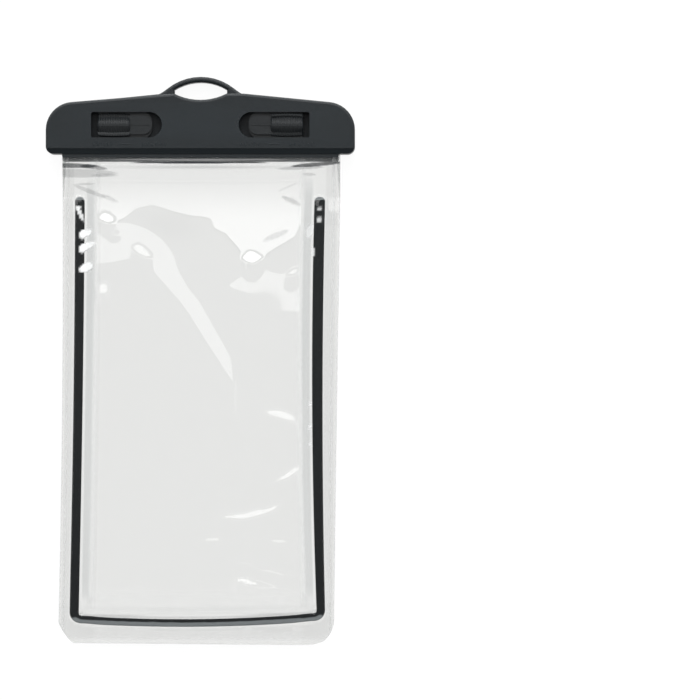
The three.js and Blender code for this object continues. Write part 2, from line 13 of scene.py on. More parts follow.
import bpy
import numpy as np
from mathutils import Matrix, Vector


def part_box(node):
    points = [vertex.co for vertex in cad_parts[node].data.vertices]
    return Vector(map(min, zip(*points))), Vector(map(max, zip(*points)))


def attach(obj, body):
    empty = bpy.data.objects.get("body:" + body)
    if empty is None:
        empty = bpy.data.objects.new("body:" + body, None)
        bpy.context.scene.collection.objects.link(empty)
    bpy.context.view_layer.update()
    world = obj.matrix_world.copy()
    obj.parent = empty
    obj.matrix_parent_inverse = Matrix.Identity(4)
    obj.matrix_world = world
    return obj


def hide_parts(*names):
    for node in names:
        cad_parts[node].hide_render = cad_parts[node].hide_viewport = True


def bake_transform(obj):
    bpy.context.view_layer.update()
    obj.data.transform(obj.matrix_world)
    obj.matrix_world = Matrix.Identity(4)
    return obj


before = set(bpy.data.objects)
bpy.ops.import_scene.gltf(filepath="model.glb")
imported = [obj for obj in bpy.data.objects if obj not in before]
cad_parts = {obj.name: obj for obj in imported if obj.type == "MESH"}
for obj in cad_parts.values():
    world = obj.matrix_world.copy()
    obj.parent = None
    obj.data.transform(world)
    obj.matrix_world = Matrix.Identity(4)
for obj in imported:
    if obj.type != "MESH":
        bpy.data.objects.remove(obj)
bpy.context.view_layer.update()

LOG = logging.getLogger("pouch")
MM = 0.001
Grid = np.ndarray
Node = bpy.types.Node
Piece = bpy.types.Object
Material = bpy.types.Material
Owner = bpy.types.Material | bpy.types.World


class Side(Enum):
    """The two walls of the pocket, as seen from the parting plane between them."""

    FRONT = 1
    BACK = -1


class Flank(Enum):
    """Left and right, as the sign of x."""

    LEFT = -1
    RIGHT = 1


class Body(Enum):
    """The bodies that pieces ride on."""

    BACK = "pouch_back"
    CLAMP = "front_clamp"


class Slot(Enum):
    """The record's material slots, by name; nothing here gives them to the pieces it makes."""

    FILM = "clear_film"
    SEAM = "seam_plastic"
    CLAMP = "clamp_plastic"


# Shader expressions


class Value:
    """A node's output that can stand in an arithmetic expression."""

    def __init__(self, canvas: "Canvas", output: bpy.types.NodeSocket) -> None:
        """Keeps the socket and the canvas that its Math nodes go to."""
        self.canvas = canvas
        self.output = output

    def math(self, operation: str, *others: Any, clamp: bool = False) -> "Value":
        """Adds a Math node with this value first.

        Args:
            operation: The Math node's operation.
            others: Numbers or values for its other inputs.
            clamp: Whether the result is kept between 0 and 1.

        Returns:
            The node's result.
        """
        sockets = dict(enumerate((self, *others)))
        return self.canvas.value("ShaderNodeMath", {"operation": operation, "use_clamp": clamp}, sockets)

    def __add__(self, other: Any) -> "Value":
        """This plus other."""
        return self.math("ADD", other)

    __radd__ = __add__

    def __sub__(self, other: Any) -> "Value":
        """This minus other."""
        return self.math("SUBTRACT", other)

    def __rsub__(self, other: float) -> "Value":
        """A number minus this."""
        return self.math("MULTIPLY_ADD", -1.0, other)

    def __mul__(self, other: Any) -> "Value":
        """This times other."""
        return self.math("MULTIPLY", other)

    __rmul__ = __mul__

    def __pow__(self, other: float) -> "Value":
        """This to a power."""
        return self.math("POWER", other)

    def clamped(self) -> "Value":
        """This between 0 and 1."""
        return self.math("MULTIPLY", 1.0, clamp=True)

    def most(self, other: Any) -> "Value":
        """The larger of two."""
        return self.math("MAXIMUM", other)

    def rise(self, start: float, end: float) -> "Value":
        """A smooth step from 0 at start to 1 at end.

        Args:
            start: Where the step begins.
            end: Where it is full; it may be below start.

        Returns:
            The step.
        """
        low, high = min(start, end), max(start, end)
        step = self.canvas.value(
            "ShaderNodeMapRange",
            {"interpolation_type": "SMOOTHSTEP"},
            {0: self, 1: low, 2: high, 3: 0.0, 4: 1.0},
        )
        return step if end > start else 1.0 - step


class Canvas:
    """The node tree of a material or a world, with one method that adds nodes to it."""

    def __init__(self, owner: Owner) -> None:
        """Empties the owner's tree and keeps it."""
        owner.use_nodes = True
        self.owner = owner
        self.tree = owner.node_tree
        self.tree.nodes.clear()

    def add(
        self,
        kind: str,
        settings: dict[str, Any] | None = None,
        sockets: dict[str | int, Any] | None = None,
    ) -> Node:
        """Adds a node.

        Args:
            kind: The node's type.
            settings: Its own settings, set first.
            sockets: Numbers, colours or links for its inputs, by name or index.

        Returns:
            The node.
        """
        node = self.tree.nodes.new(kind)
        for name, value in (settings or {}).items():
            setattr(node, name, value)
        for key, value in (sockets or {}).items():
            link = value.output if isinstance(value, Value) else value
            if isinstance(link, bpy.types.NodeSocket):
                self.tree.links.new(link, node.inputs[key])
            else:
                node.inputs[key].default_value = value
        return node

    def value(
        self,
        kind: str,
        settings: dict[str, Any] | None = None,
        sockets: dict[str | int, Any] | None = None,
        output: str | int = 0,
    ) -> Value:
        """Adds a node and returns one of its outputs for expressions."""
        return Value(self, self.add(kind, settings, sockets).outputs[output])

    def noise(self, place: Value, scale: float, detail: float = 2.0, rough: float = 0.5) -> Value:
        """A noise from 0 to 1.

        Args:
            place: The point it is read at.
            scale: How many cells there are to a metre.
            detail: How many finer layers it has.
            rough: How strong those layers are.

        Returns:
            The noise.
        """
        sockets = {"Vector": place, "Scale": scale, "Detail": detail, "Roughness": rough}
        return self.value("ShaderNodeTexNoise", None, sockets)

    def colour_mix(self, share: Any, first: Any, second: Any) -> Value:
        """Mixes two colours, each a link or four numbers."""
        settings = {"data_type": "RGBA", "clamp_factor": True}
        return self.value("ShaderNodeMix", settings, {0: share, 6: first, 7: second}, 2)

    def bump(self, height: Value, distance: float, strength: float = 1.0) -> Value:
        """A normal from a height that runs over distance, in metres."""
        sockets = {"Height": height, "Distance": distance, "Strength": strength}
        return self.value("ShaderNodeBump", None, sockets)

    def place(self) -> Value:
        """The point in the piece's own space, which is the frame at rest."""
        return self.value("ShaderNodeTexCoord", None, None, "Object")

    def stored(self, name: str) -> Value:
        """A number that is stored on the piece's points."""
        return self.value("ShaderNodeAttribute", {"attribute_name": name}, None, "Fac")

    def mixed(self, share: Any, first: Node, second: Node) -> Node:
        """Mixes two shaders."""
        return self.add("ShaderNodeMixShader", None, {0: share, 1: first.outputs[0], 2: second.outputs[0]})

    def surface(self, shader: Node) -> Owner:
        """Sends a shader to the output and returns the owner."""
        kind = "ShaderNodeOutputMaterial"
        if isinstance(self.owner, bpy.types.World):
            kind = "ShaderNodeOutputWorld"
        self.add(kind, None, {"Surface": shader.outputs[0]})
        return self.owner

    def plastic(self, sockets: dict[str, Any]) -> Material:
        """Ends a material with a Principled shader and returns it."""
        return self.surface(self.add("ShaderNodeBsdfPrincipled", None, sockets))


def grey(level: float) -> tuple[float, float, float, float]:
    """A neutral colour."""
    return (level, level, level, 1.0)


# Finishes


@dataclass(frozen=True)
class MouldedPlastic:
    """Matt moulded plastic with a fine spark-eroded grain and paler, rubbed edges."""

    name: str
    colour: tuple[float, float, float]
    roughness: float = 0.48
    shine: float = 0.3
    grain: float = 2600.0
    grain_depth: float = 0.00005
    grain_strength: float = 0.6
    grain_roughness: float = 0.16
    cloud_scale: float = 70.0
    dark_share: float = 0.82
    pale_share: float = 1.25
    worn_share: float = 2.2
    edge_range: tuple[float, float] = (0.52, 0.62)
    rub: float = 0.35
    scuff_scale: float = 260.0
    scuff_range: tuple[float, float] = (0.62, 0.78)
    scuff_roughness: float = 0.08

    def shade(self, share: float) -> tuple[float, ...]:
        """The colour times a share, opaque."""
        return (*(share * part for part in self.colour), 1.0)

    def material(self) -> Material:
        """Makes the material."""
        canvas = Canvas(bpy.data.materials.new(self.name))
        place = canvas.place()
        fine = canvas.noise(place, self.grain, 3.0, 0.6)
        cloud = canvas.noise(place, self.cloud_scale, 4.0, 0.55)
        mottle = fine * 0.5 + cloud * 0.5
        tone = canvas.colour_mix(mottle, self.shade(self.dark_share), self.shade(self.pale_share))
        edge = canvas.value("ShaderNodeNewGeometry", None, None, "Pointiness").rise(*self.edge_range)
        scuff = canvas.noise(place, self.scuff_scale, 2.0, 0.7).rise(*self.scuff_range)
        rough = self.roughness + (fine - 0.5) * self.grain_roughness + scuff * self.scuff_roughness
        return canvas.plastic(
            {
                "Base Color": canvas.colour_mix(edge * self.rub, tone, self.shade(self.worn_share)),
                "Roughness": rough.clamped(),
                "Specular IOR Level": self.shine,
                "Normal": canvas.bump(fine, self.grain_depth, self.grain_strength),
            }
        )


@dataclass(frozen=True)
class SeamPlastic:
    """The welded strip: black, faintly mottled, clear grey where the weld has thinned it."""

    name: str = "seam_black"
    colour: tuple[float, float, float] = (0.0055, 0.0075, 0.009)
    thin_colour: tuple[float, float, float] = (0.24, 0.26, 0.27)
    thin_range: tuple[float, float] = (0.35, 0.7)
    mottle: float = 220.0
    mottle_depth: float = 0.0001
    roughness: float = 0.4
    shine: float = 0.22

    def material(self) -> Material:
        """Makes the material; the stored number thinned says where the strip has spread thin."""
        canvas = Canvas(bpy.data.materials.new(self.name))
        cloud = canvas.noise(canvas.place(), self.mottle, 3.0)
        share = (canvas.stored("thinned") + (cloud - 0.5) * 0.3).rise(*self.thin_range)
        return canvas.plastic(
            {
                "Base Color": canvas.colour_mix(share, (*self.colour, 1.0), (*self.thin_colour, 1.0)),
                "Roughness": self.roughness + cloud * 0.14,
                "Specular IOR Level": self.shine,
                "Normal": canvas.bump(cloud, self.mottle_depth, 0.5),
            }
        )


@dataclass(frozen=True)
class SealRubber:
    """Soft grey sealing strip with a dull skin."""

    name: str = "seal_grey"
    dark: tuple[float, ...] = (0.07, 0.08, 0.085, 1.0)
    pale: tuple[float, ...] = (0.1, 0.11, 0.115, 1.0)
    mottle: float = 900.0
    mottle_depth: float = 0.00004
    roughness: float = 0.6

    def material(self) -> Material:
        """Makes the material."""
        canvas = Canvas(bpy.data.materials.new(self.name))
        cloud = canvas.noise(canvas.place(), self.mottle)
        return canvas.plastic(
            {
                "Base Color": canvas.colour_mix(cloud, self.dark, self.pale),
                "Roughness": self.roughness + cloud * 0.2,
                "Normal": canvas.bump(cloud, self.mottle_depth),
            }
        )


@dataclass(frozen=True)
class ClearFilm:
    """Clear soft film: most light passes it, it mirrors as clear plastic does, its welds are hazy white,
    and it carries painted glints and painted shade.
    """

    name: str
    tint: tuple[float, float, float] = (0.953, 0.954, 0.951)
    steep_tint: tuple[float, float, float] = (0.8, 0.81, 0.81)
    steep_range: tuple[float, float] = (0.12, 0.4)
    steep_share: float = 0.4
    head_on_gloss: float = 0.045
    roughness: float = 0.012
    roughness_spread: float = 0.012
    cloud_scale: float = 35.0
    haze: float = 0.003
    haze_colour: tuple[float, float, float] = (0.88, 0.89, 0.89)
    grey_and_shade_colour: tuple[float, float, float] = (0.05, 0.055, 0.06)

    def material(self) -> Material:
        """Makes the material; numbers stored on the film say where it is hazy white and where painted
        glints lie, where it is grey and where painted shade lies, and where it is dull.
        """
        canvas = Canvas(bpy.data.materials.new(self.name))
        facing = canvas.value("ShaderNodeLayerWeight", None, {"Blend": 0.5}, "Facing")
        mirror = self.head_on_gloss + facing**5.0 * (1.0 - self.head_on_gloss)
        mirror = mirror * (1.0 - canvas.stored("dull"))
        clear = canvas.add("ShaderNodeBsdfTransparent", None, {"Color": (*self.tint, 1.0)})
        steep = canvas.add("ShaderNodeBsdfTransparent", None, {"Color": (*self.steep_tint, 1.0)})
        steepness = facing.rise(*self.steep_range) * self.steep_share
        through = canvas.mixed(steepness.clamped(), clear, steep)
        rough = self.roughness + canvas.noise(canvas.place(), self.cloud_scale, 3.0) * self.roughness_spread
        gloss = canvas.add("ShaderNodeBsdfGlossy", None, {"Color": grey(1.0), "Roughness": rough})
        sheet = canvas.mixed(mirror.clamped(), through, gloss)
        # The pale diffuse below gives the welds their haze and also paints glints, reflections and a
        # highlight along the folds onto the film.
        milk = canvas.add("ShaderNodeBsdfDiffuse", None, {"Color": (*self.haze_colour, 1.0)})
        haze_and_glint_mix = canvas.mixed((canvas.stored("haze_and_painted_glints") + self.haze).clamped(), sheet, milk)
        # The dark diffuse below gives the margins a faint grey and also paints shade onto the film: dark
        # reflections and shadow of the clamp at the mouth, darker marks on the upper panel and a dark line
        # near the bottom.
        grey_and_shade_shader = canvas.add("ShaderNodeBsdfDiffuse", None, {"Color": (*self.grey_and_shade_colour, 1.0)})
        return canvas.surface(canvas.mixed(canvas.stored("grey_and_painted_shade").clamped(), haze_and_glint_mix, grey_and_shade_shader))


# Mesh helpers


def new_piece(name: str, points: Grid, faces: list, finish: Material) -> Piece:
    """Makes a smooth-shaded mesh object from points in millimetres.

    Args:
        name: The object's name.
        points: The points, one row each.
        faces: Index tuples.
        finish: Its material.

    Returns:
        The object, linked to the scene.
    """
    mesh = bpy.data.meshes.new(name)
    mesh.from_pydata((points * MM).tolist(), [], faces)
    mesh.validate()
    mesh.materials.append(finish)
    mesh.polygons.foreach_set("use_smooth", [True] * len(mesh.polygons))
    piece = bpy.data.objects.new(name, mesh)
    bpy.context.scene.collection.objects.link(piece)
    return piece


def mark_points(piece: Piece, name: str, values: Grid) -> None:
    """Stores one number a point on a piece, for its finish to read."""
    layer = piece.data.attributes.new(name, "FLOAT", "POINT")
    layer.data.foreach_set("value", values.astype(np.float32))


def hinge(distance: Grid, radius: float) -> Grid:
    """The positive part of a distance, its corner rounded within radius on both sides."""
    return (np.maximum(distance + radius, 0) ** 2 - np.maximum(distance - radius, 0) ** 2) / (4 * radius)


def ramp(distance: Grid, run: float, radius: float) -> Grid:
    """A straight rise from 0 to 1 over run, with rounded ends."""
    return (hinge(distance, radius) - hinge(distance - run, radius)) / run


def smooth(values: Grid, start: float, end: float) -> Grid:
    """A smooth step from 0 at start to 1 at end."""
    share = np.clip((values - start) / (end - start), 0, 1)
    return share * share * (3 - 2 * share)


def blunt(values: Grid, power: float) -> Grid:
    """A signed power of values from -1 to 1, which squares off a round section."""
    return np.sign(values) * np.abs(values) ** power


def quads(index: Grid) -> Grid:
    """The four-sided faces between the points of a grid of indices, one row each."""
    corners = [index[:-1, :-1], index[:-1, 1:], index[1:, 1:], index[1:, :-1]]
    return np.stack(corners, axis=-1).reshape(-1, 4)


def shell(outer: Grid, inner: Grid) -> tuple[Grid, list]:
    """Closes two grids of points of the same shape into one thin solid.

    Args:
        outer: The outer face, rows by columns by 3, its rows along y and its columns along x.
        inner: The inner face.

    Returns:
        The points and faces, with normals out of the outer face.
    """
    rows, columns = outer.shape[:2]
    index = np.arange(rows * columns).reshape(rows, columns)
    upper = quads(index)
    lower = upper[:, ::-1] + rows * columns
    rim = np.concatenate([index[0], index[1:, -1], index[-1, -2::-1], index[-2:0:-1, 0]])
    following = np.roll(rim, -1)
    wall = np.stack([rim, rim + rows * columns, following + rows * columns, following], axis=-1)
    points = np.concatenate([outer.reshape(-1, 3), inner.reshape(-1, 3)])
    return points, np.concatenate([upper, lower, wall]).tolist()


# The pocket


@dataclass
class Sway:
    """How the pocket lies askew: shifts in x at its top, middle and bottom, and its sagging end."""

    top: float = 65.0
    bottom: float = -105.0
    edge_left: tuple[float, float, float] = (0.0, -0.25, -1.65)
    seam_left: tuple[float, float, float] = (-0.3, -1.2, -2.9)
    seam_right: tuple[float, float, float] = (-0.6, -1.55, 0.45)
    edge_right: tuple[float, float, float] = (0.6, -0.75, -1.9)
    edge_half: float = 55.4
    seam_half: float = 48.25
    seam_drop: float = 0.7
    seam_drop_bow: float = 0.8
    seam_drop_tilt: float = -0.52
    edge_drop: float = 0.75
    edge_drop_tilt: float = 0.45
    drop_starts: float = -84.0
    drop_full: float = -99.0
    edge_bottom: float = -113.5

    def at_height(self, y: Grid, shifts: tuple[float, float, float]) -> Grid:
        """The shift along one line, a parabola through its top, middle and bottom shifts."""
        share = np.clip((self.top - y) / (self.top - self.bottom), 0, 1.1)
        top, middle, bottom = shifts
        curve = 2 * (top - 2 * middle + bottom)
        return top + share * (4 * middle - bottom - 3 * top) + share**2 * curve

    def shift(self, x: Grid, y: Grid) -> Grid:
        """The shift in x of any point of the pocket."""
        lines = [self.edge_left, self.seam_left, self.seam_right, self.edge_right]
        values = [self.at_height(y, line) for line in lines]
        places = [-self.edge_half, -self.seam_half, self.seam_half, self.edge_half]
        total = np.zeros_like(x)
        for left, right, low, high in zip(places, places[1:], values, values[1:]):
            share = (x - left) / (right - left)
            inside = (x >= left) & (x <= right)
            total = np.where(inside, low + share * (high - low), total)
        total = np.where(x < places[0], values[0], total)
        return np.where(x > places[-1], values[-1], total)

    def drop(self, x: Grid, y: Grid) -> Grid:
        """The shift in y of any point: the pocket's bottom sags, more in the middle of its seam."""
        across = x / self.seam_half
        seam = self.seam_drop + self.seam_drop_tilt * across + self.seam_drop_bow * (1 - across**2)
        edge = self.edge_drop + self.edge_drop_tilt * across
        outside = np.clip((self.bottom - y) / (self.bottom - self.edge_bottom), 0, 1)
        return -(seam + (edge - seam) * outside) * smooth(y, self.drop_starts, self.drop_full)


@dataclass
class Spot:
    """A place on the film: its middle, half lengths along and across, turn and strength."""

    x: float
    y: float
    along: float
    across: float
    turn: float
    strength: float

    def shares(self, x: Grid, y: Grid, bend: float = 0.0) -> tuple[Grid, Grid]:
        """Where points lie along and across it, 1 at its half lengths; bend curves its ends sideways."""
        angle = math.radians(self.turn)
        u = ((x - self.x) * math.cos(angle) + (y - self.y) * math.sin(angle)) / self.along
        v = (y - self.y) * math.cos(angle) - (x - self.x) * math.sin(angle)
        return u, (v - bend * u**2) / self.across


@dataclass
class Crease(Spot):
    """A soft ridge, or a soft streak; bend curves it sideways by that much at its ends."""

    bend: float = 0.0

    def rise(self, x: Grid, y: Grid) -> Grid:
        """Its height or strength at each point."""
        u, v = self.shares(x, y, self.bend)
        return self.strength * np.exp(-(u**2) - v**2)


@dataclass
class Mark(Spot):
    """A crisp-edged oval on the film, which fades out within soft of its rim."""

    soft: float = 0.4

    def rise(self, x: Grid, y: Grid) -> Grid:
        """Its strength at each point."""
        u, v = self.shares(x, y)
        return self.strength * smooth(1 - u**2 - v**2, 0, self.soft)


@dataclass(frozen=True)
class Line:
    """A soft pale line, hazy at a weld and a painted highlight along a fold: its distance from an edge or
    fold, its half width and its strength.
    """

    place: float
    half: float
    strength: float

    def level(self, distance: Grid) -> Grid:
        """How milky it is at each distance."""
        return self.strength * np.exp(-(((distance - self.place) / self.half) ** 2))


@dataclass
class Lean:
    """A stretch of film between two lines that leans, so that it mirrors a lamp to the north.

    The lines' places in y, upper and lower, are given at the places across in x. The film rises southward
    by slope, which grows by slope_growth a millimetre, and settles again below the lower line.
    """

    across: tuple[float, ...]
    upper: tuple[float, ...]
    lower: tuple[float, ...]
    slope: float
    slope_growth: float = 0.0
    settles_over: float = 55.0
    end_fade: float = 3.0

    def rise(self, x: Grid, y: Grid) -> Grid:
        """Its height at each point: up from the upper line to the lower one, then slowly down again."""
        high = np.interp(x, self.across, self.upper)
        low = np.interp(x, self.across, self.lower)
        level = np.clip(y, low, high)
        height = self.slope * (high - level) - self.slope_growth * (high**2 - level**2) / 2
        height = height * (1 - smooth(low - y, 0, self.settles_over))
        inside = smooth(x, self.across[0] - self.end_fade, self.across[0])
        return height * inside * smooth(-x, -self.across[-1] - self.end_fade, -self.across[-1])


@dataclass
class Pocket:
    """Sizes that both walls of the pocket share, taken from the frame where it has them."""

    thickness: float = 0.4
    panel_half: float = 41.4
    side_run: float = 4.8
    seam_width: float = 3.8
    seam_spread: float = 0.1
    seam_half_height: float = 0.4
    bottom_run: float = 8.4
    bottom_bow: float = 1.2
    slot_height: float = 2.75
    mouth_run: float = 14.1
    panel_mouth_run: float = 9.0
    corner: float = 9.0
    right_corner: float = 14.8
    seam_corner: float = 3.1
    crease_radius: float = 0.9
    film_gap: float = 0.03
    seam_arch: float = 0.18
    parting: float = field(init=False)
    half_width: float = field(init=False)
    bottom: float = field(init=False)
    top: float = field(init=False)
    seam_half: float = field(init=False)
    seam_bottom: float = field(init=False)
    seam_top: float = field(init=False)
    mouth: float = field(init=False)

    def __post_init__(self) -> None:
        """Reads the film's and the seam's places from the frame."""
        film_low, film_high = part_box("front_film")
        seam_low, seam_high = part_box("seam_strip")
        retainer_low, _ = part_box("front_film_retainer")
        self.parting = film_low.z / MM
        self.half_width = film_high.x / MM
        self.bottom = film_low.y / MM
        self.top = film_high.y / MM
        self.seam_half = seam_high.x / MM - self.seam_width / 2
        self.seam_top = seam_high.y / MM
        self.seam_bottom = seam_low.y / MM + self.seam_width / 2 + self.bottom_bow
        self.mouth = retainer_low.y / MM

    def foot(self) -> float:
        """Where the bottom wall meets the margin."""
        return self.seam_bottom + self.seam_width / 2

    def opening(self) -> float:
        """Where the margins begin to part below the mouth."""
        return self.mouth - self.mouth_run

    def bowed(self, x: Grid) -> Grid:
        """Where the middle line of the seam's bottom runs, lowest in the middle."""
        return self.seam_bottom - self.bottom_bow * (1 - (x / self.seam_half) ** 2).clip(0)

    def seam_distance(self, x: Grid, y: Grid) -> Grid:
        """How far a point is from the middle line of the seam's U, signed, positive outside."""
        radius = self.seam_corner
        line = self.bowed(x)
        out = np.abs(x) - (self.seam_half - radius)
        down = line + radius - y
        corner = np.hypot(out.clip(0), down.clip(0)) - radius
        return np.where(down <= 0, np.abs(x) - self.seam_half, np.where(out <= 0, line - y, corner))


@dataclass
class FilmWall:
    """One wall of the pocket: a film tray with margins, side walls, a panel and its own soft creases."""

    pocket: Pocket
    sway: Sway
    side: Side
    bulge: float
    crown: float = 0.0
    creases: list[Lean | Crease] = field(default_factory=list)
    painted_glints: list[Mark] = field(default_factory=list)
    painted_shade_marks: list[Mark | Crease] = field(default_factory=list)
    shine: Lean | None = None
    columns: int = 149
    row_pitch: float = 0.8
    mouth_pitch: float = 0.3
    corner_rows: int = 14
    cut_share: float = 0.7
    cut_depth: float = 0.82
    cut_start: float = 0.04
    foot_round: float = 2.6
    crown_round: float = 2.0
    crown_end: tuple[float, float] = (68.0, 79.0)
    creases_end: tuple[float, float] = (76.0, 80.0)
    seam_ledge: tuple[float, float] = (1.35, 1.0)
    floor: float = 0.05
    flutter_height: float = 0.1
    flutter_waves: tuple[float, float] = (9.0, 23.0)
    edge_lines: tuple[Line, ...] = (Line(2.2, 0.45, 0.16), Line(0.0, 0.35, 0.2))
    bottom_lines: tuple[Line, ...] = (Line(0.0, 0.4, 0.14), Line(2.4, 0.5, 0.08))
    # The fold's pale line is a painted highlight along the panel's side folds, on top of their real
    # reflection.
    painted_fold_highlight: Line = Line(0.0, 0.9, 0.1)
    foot_milk: float = 0.03
    margin_smoke: float = 0.042
    bottom_smoke: float = 0.01
    seam_smoke: float = 0.13
    dullest: float = 0.95
    dull_mouth: tuple[float, float] = (54.0, 73.0)
    dull_below_shine: float = 0.5

    def rows(self) -> Grid:
        """Heights in y of the grid's rows, closer together round the bottom corners and in the mouth."""
        pocket = self.pocket
        turns = np.linspace(0, math.pi / 2, self.corner_rows)
        low = pocket.bottom + pocket.corner * (1 - np.cos(turns))
        middle = np.arange(low[-1], pocket.opening(), self.row_pitch)[1:]
        mouth = np.arange(pocket.opening(), pocket.top, self.mouth_pitch)
        return np.concatenate([low, middle, mouth, [pocket.top]])

    def reach(self, y: Grid, flank: Flank) -> Grid:
        """How far the outline reaches to a flank at each row: an arc on the right, cut off on the left."""
        pocket = self.pocket
        drop = np.clip((pocket.bottom + pocket.corner - y) / pocket.corner, 0, 1)
        arc = 1 - np.sqrt(1 - drop**2)
        if flank is Flank.RIGHT:
            return pocket.half_width - pocket.right_corner * arc
        cut = self.cut_depth * np.clip((drop - self.cut_start) / (1 - self.cut_start), 0, 1)
        return pocket.half_width - pocket.corner * ((1 - self.cut_share) * arc + self.cut_share * cut)

    def panel(self, y: Grid) -> Grid:
        """Height of the panel's inner face along the length."""
        pocket = self.pocket
        full = self.bulge * ramp(y - pocket.foot(), pocket.bottom_run, self.foot_round)
        closing = smooth(y, pocket.mouth - pocket.panel_mouth_run, pocket.mouth)
        return full + (pocket.slot_height - full) * closing

    def margin(self, y: Grid) -> Grid:
        """Height of the margins' inner face, which opens in a straight slope at the mouth."""
        pocket = self.pocket
        opened = np.clip((y - pocket.opening()) / pocket.mouth_run, 0, 1)
        return pocket.film_gap + (pocket.slot_height - pocket.film_gap) * opened

    def height(self, x: Grid, y: Grid) -> Grid:
        """Height of the inner face above the parting plane, before sway."""
        pocket = self.pocket
        margin = self.margin(y)
        from_wall = pocket.panel_half + pocket.side_run - np.abs(x)
        inward = ramp(from_wall, pocket.side_run, pocket.crease_radius)
        crown = self.crown * np.cos(x / pocket.panel_half * math.pi / 2).clip(0)
        crown = crown * ramp(y - pocket.foot(), pocket.bottom_run, self.crown_round)
        crown = crown * (1 - smooth(y, *self.crown_end))
        waves = sum(crease.rise(x, y) for crease in self.creases)
        waves = waves * inward * (1 - smooth(y, *self.creases_end))
        from_seam = np.abs(pocket.seam_distance(x, y)) / (pocket.seam_width / 2)
        bump = pocket.seam_half_height * smooth(from_seam, *self.seam_ledge)
        bump = bump + pocket.seam_arch * (1 - from_seam**2).clip(0)
        bump = bump * (1 - smooth(y, pocket.seam_top - 0.2, pocket.seam_top + 1.0))
        body = margin + (self.panel(y) + crown - margin) * inward
        return body + waves + np.maximum(bump, self.flutter(x, y))

    def flutter(self, x: Grid, y: Grid) -> Grid:
        """Small waves along the margins, outside the seam."""
        outside = smooth(np.abs(x), self.pocket.seam_half + 2.2, self.pocket.seam_half + 4)
        phase = 0.7 if self.side is Side.FRONT else 2.1
        short, long = self.flutter_waves
        wave = 0.5 + 0.5 * np.sin(y / short + phase + 1.3 * np.sin(y / long) + np.sign(x))
        return self.flutter_height * outside * wave

    def build(self, finish: Material) -> Piece:
        """Makes the wall's mesh, a closed shell of the film's thickness, with its marks stored on it."""
        pocket = self.pocket
        y = self.rows()[:, None]
        share = np.linspace(-1, 1, self.columns)[None, :]
        x = np.where(share < 0, share * self.reach(y, Flank.LEFT), share * self.reach(y, Flank.RIGHT))
        y = np.broadcast_to(y, x.shape)
        inner = self.height(x, y)
        sign = self.side.value
        level = pocket.parting + sign * inner
        inside = np.stack([x + self.sway.shift(x, y), y + self.sway.drop(x, y), level], axis=-1)
        outside = inside + self.normals(x, y, inner) * pocket.thickness * np.array([1.0, 1.0, sign])
        outside[..., 2] = np.maximum(outside[..., 2], self.floor)
        inside[..., 2] = np.maximum(inside[..., 2], self.floor + 0.8 * pocket.thickness)
        points, faces = shell(outside, inside)
        if self.side is Side.BACK:
            faces = [face[::-1] for face in faces]
        piece = new_piece(f"{self.side.name.lower()}_film_sheet", points, faces, finish)
        flat = (np.tile(x.ravel(), 2), np.tile(y.ravel(), 2))
        for name, marks in (("haze_and_painted_glints", self.haze_and_painted_glints), ("grey_and_painted_shade", self.grey_and_painted_shade), ("dull", self.dull)):
            mark_points(piece, name, marks(*flat))
        return piece

    def normals(self, x: Grid, y: Grid, height: Grid) -> Grid:
        """Unit normals of the height field, out of the pocket, straight up on its rim."""
        along = np.gradient(height, axis=0) / np.maximum(np.gradient(y, axis=0), 1e-6)
        across = np.gradient(height, axis=1) / np.maximum(np.gradient(x, axis=1), 1e-6)
        for slope in (along, across):
            slope[0] = slope[-1] = 0
            slope[:, 0] = slope[:, -1] = 0
        normal = np.stack([-across, -along, np.ones_like(height)], axis=-1)
        return normal / np.linalg.norm(normal, axis=-1, keepdims=True)

    def haze_and_painted_glints(self, x: Grid, y: Grid) -> Grid:
        """How pale the film is: hazy weld lines and foot slope, a painted highlight along the folds of the
        panel, and painted glints and reflections.
        """
        pocket = self.pocket
        above_foot = y - pocket.foot()
        welds = sum(line.level(pocket.half_width - np.abs(x)) for line in self.edge_lines)
        rim = sum(line.level(y - pocket.bottom) for line in self.bottom_lines)
        fold = self.painted_fold_highlight.level(np.abs(x) - pocket.panel_half) * smooth(above_foot, 0, 8)
        inside = np.abs(x) < pocket.panel_half + 4
        slope = self.foot_milk * inside * smooth(above_foot, 9.5, 5) * smooth(above_foot, -0.6, 0.2)
        return welds + fold + rim + slope + sum(spot.rise(x, y) for spot in self.painted_glints)

    def dull(self, x: Grid, y: Grid) -> Grid:
        """How little the film mirrors: the back, the taut mouth and what lies below the shine are dull."""
        if self.shine is None:
            return np.full_like(y, self.dullest)
        past_shine = np.interp(x, self.shine.across, self.shine.lower) - y
        below = self.dull_below_shine * smooth(past_shine, 0.8, 1.8)
        return np.maximum(self.dullest * smooth(y, *self.dull_mouth), below)

    def grey_and_painted_shade(self, x: Grid, y: Grid) -> Grid:
        """The front's painted shade, dark reflections and shadow of the clamp at the mouth, darker marks on
        the upper panel and a dark line near the bottom, and the faint grey of its margins and of the seam's
        inner edge.
        """
        if self.side is Side.BACK:
            return np.zeros_like(x)
        pocket = self.pocket
        from_seam = pocket.seam_distance(x, y)
        margin = self.margin_smoke + self.bottom_smoke * (y < pocket.seam_bottom)
        margin = margin * smooth(from_seam, 2.0, 2.6) * smooth(pocket.half_width - np.abs(x), 0.5, 1.5)
        margin = margin * smooth(y, pocket.bottom + 1.0, pocket.bottom + 4.0)
        inner = self.seam_smoke * smooth(from_seam, -2.9, -2.5) * smooth(-from_seam, 1.2, 1.5)
        inner = inner * (y < pocket.seam_bottom + 3)
        return margin + inner + sum(streak.rise(x, y) for streak in self.painted_shade_marks)


